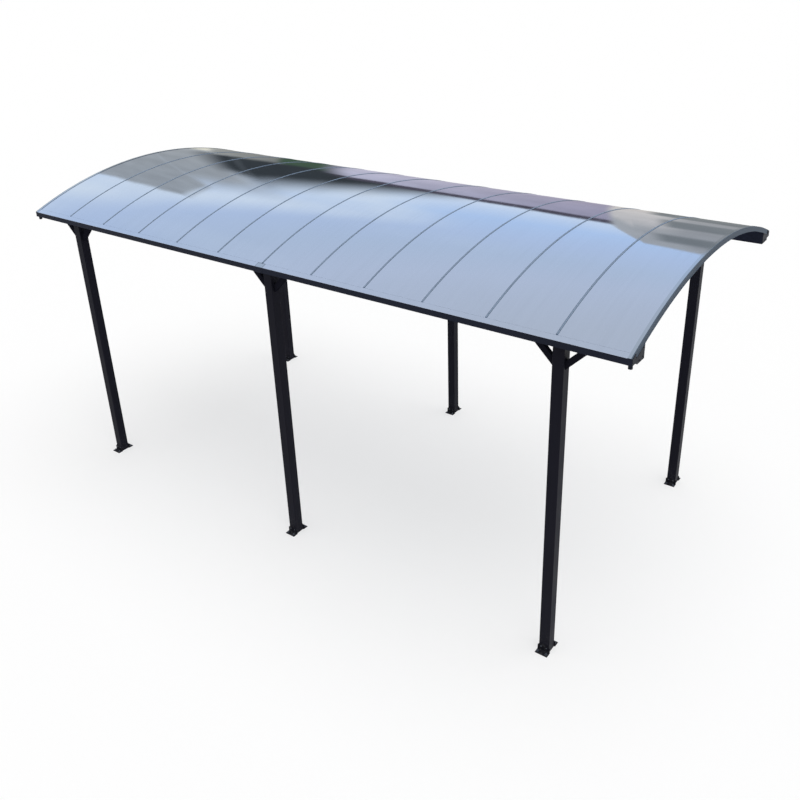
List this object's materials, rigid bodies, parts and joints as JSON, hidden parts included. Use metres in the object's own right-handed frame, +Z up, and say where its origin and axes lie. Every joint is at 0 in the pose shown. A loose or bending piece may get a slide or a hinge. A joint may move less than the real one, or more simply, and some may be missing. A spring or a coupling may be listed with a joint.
{
  "type": "carport",
  "caption": "Open-sided carport with an arched roof of curved smoke-grey sheets on ribs, gutter beams along both eaves, square posts, knee braces and bolt-down feet.",
  "frame": {"origin": "middle of the ground plan, on the ground between the six posts", "axes": "+X along the eaves, +Y across the roof from the pictured side to the far side, +Z up"},
  "size_m": [7.328, 3.4486, 3.4563],
  "materials": {
    "frame_coat": "satin powder coat, anthracite",
    "gutter_coat": "satin powder coat, anthracite",
    "rib_coat": "satin powder coat, slate grey",
    "foot_coat": "satin powder coat on bent plate",
    "end_cap_plastic": "moulded, fine grain",
    "roof_sheet": "gloss smoke-grey polycarbonate"
  },
  "bodies": {
    "root": {"post_front_left": "frame_coat", "brace_pair_front_left": "frame_coat", "post_front_middle": "frame_coat", "brace_pair_front_middle": "frame_coat", "post_front_right": "frame_coat", "brace_pair_front_right": "frame_coat", "feet_front": "foot_coat", "gutter_beam_front_left": "gutter_coat", "gutter_beam_front_right": "gutter_coat", "gutter_joint_front": "gutter_coat", "post_back_left": "frame_coat", "brace_pair_back_left": "frame_coat", "post_back_middle": "frame_coat", "brace_pair_back_middle": "frame_coat", "post_back_right": "frame_coat", "brace_pair_back_right": "frame_coat", "feet_back": "foot_coat", "gutter_beam_back_left": "gutter_coat", "gutter_beam_back_right": "gutter_coat", "gutter_joint_back": "gutter_coat", "end_rib_left": "rib_coat", "gutter_end_caps_left": "end_cap_plastic", "end_rib_right": "rib_coat", "gutter_end_caps_right": "end_cap_plastic", "rib_bars": "rib_coat", "rib_caps": "rib_coat", "roof_sheet_01": "roof_sheet", "roof_sheet_02": "roof_sheet", "roof_sheet_03": "roof_sheet", "roof_sheet_04": "roof_sheet", "roof_sheet_05": "roof_sheet", "roof_sheet_06": "roof_sheet", "roof_sheet_07": "roof_sheet", "roof_sheet_08": "roof_sheet", "roof_sheet_09": "roof_sheet", "roof_sheet_10": "roof_sheet", "roof_sheet_11": "roof_sheet", "roof_sheet_12": "roof_sheet"}
  },
  "joints": []
}
